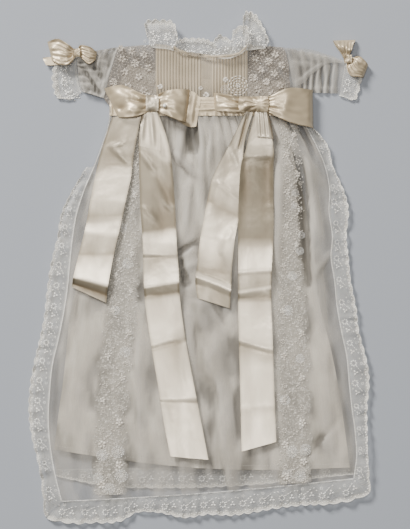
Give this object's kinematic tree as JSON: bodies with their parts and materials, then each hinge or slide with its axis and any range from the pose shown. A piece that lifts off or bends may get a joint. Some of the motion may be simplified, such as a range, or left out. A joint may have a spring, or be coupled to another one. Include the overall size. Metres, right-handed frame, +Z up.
{
  "type": "christening gown, laid flat",
  "caption": "Antique christening gown laid flat: sheer short-sleeved overgown on a silk slip, with gathered lace edging, embroidered bands and satin bows.",
  "frame": {"origin": "centre of the gown's outline, on the surface that it lies on", "axes": "+Y from the hem towards the neck, +X to the right as the front is looked at, +Z up out of the front"},
  "size_m": [0.4958, 0.7402, 0.0348],
  "materials": {
    "sheer_organza": "sheer plain-woven cotton and silk organza, aged ivory",
    "lace_net": "gathered net lace with raised sprigs and a corded scalloped edge",
    "slip_silk": "plain silk with a soft sheen",
    "satin_ribbon": "woven satin ribbon with a bright sheen, creased across",
    "embroidery": "dense cotton embroidery on net, matt with slightly glossy thread",
    "pearl": "glossy imitation pearl"
  },
  "bodies": {
    "root": {"back_hem_lace": "lace_net", "band_left": "embroidery", "band_right": "embroidery", "bodice_back_left": "sheer_organza", "bodice_back_right": "sheer_organza", "bodice_front": "sheer_organza", "cuff_lace_left": "lace_net", "cuff_lace_right": "lace_net", "hem_lace": "lace_net", "left_bow_cut_end": "satin_ribbon", "left_bow_knot": "satin_ribbon", "left_bow_loop_left": "satin_ribbon", "left_bow_loop_right": "satin_ribbon", "left_bow_tail_long": "satin_ribbon", "left_bow_tail_short": "satin_ribbon", "left_bow_underloop": "satin_ribbon", "left_cuff_end": "satin_ribbon", "left_cuff_knot": "satin_ribbon", "left_cuff_loop_inner": "satin_ribbon", "left_cuff_loop_outer": "satin_ribbon", "neck_binding": "sheer_organza", "neck_lace_back": "lace_net", "neck_lace_fold": "lace_net", "neck_lace_left": "lace_net", "neck_lace_right": "lace_net", "pearl_bead": "pearl", "right_bow_knot": "satin_ribbon", "right_bow_loop_left": "satin_ribbon", "right_bow_loop_right": "satin_ribbon", "right_bow_tail_long": "satin_ribbon", "right_bow_tail_short": "satin_ribbon", "right_bow_underloop": "satin_ribbon", "right_cuff_knot": "satin_ribbon", "right_cuff_loop_lower": "satin_ribbon", "right_cuff_loop_upper": "satin_ribbon", "sash": "satin_ribbon", "side_lace_left": "lace_net", "side_lace_right": "lace_net", "skirt_back": "sheer_organza", "skirt_front": "sheer_organza", "sleeve_back_left": "sheer_organza", "sleeve_back_right": "sheer_organza", "sleeve_front_left": "sheer_organza", "sleeve_front_right": "sheer_organza", "slip_back": "slip_silk", "slip_front": "slip_silk", "yoke_left": "embroidery", "yoke_right": "embroidery"}
  },
  "joints": []
}
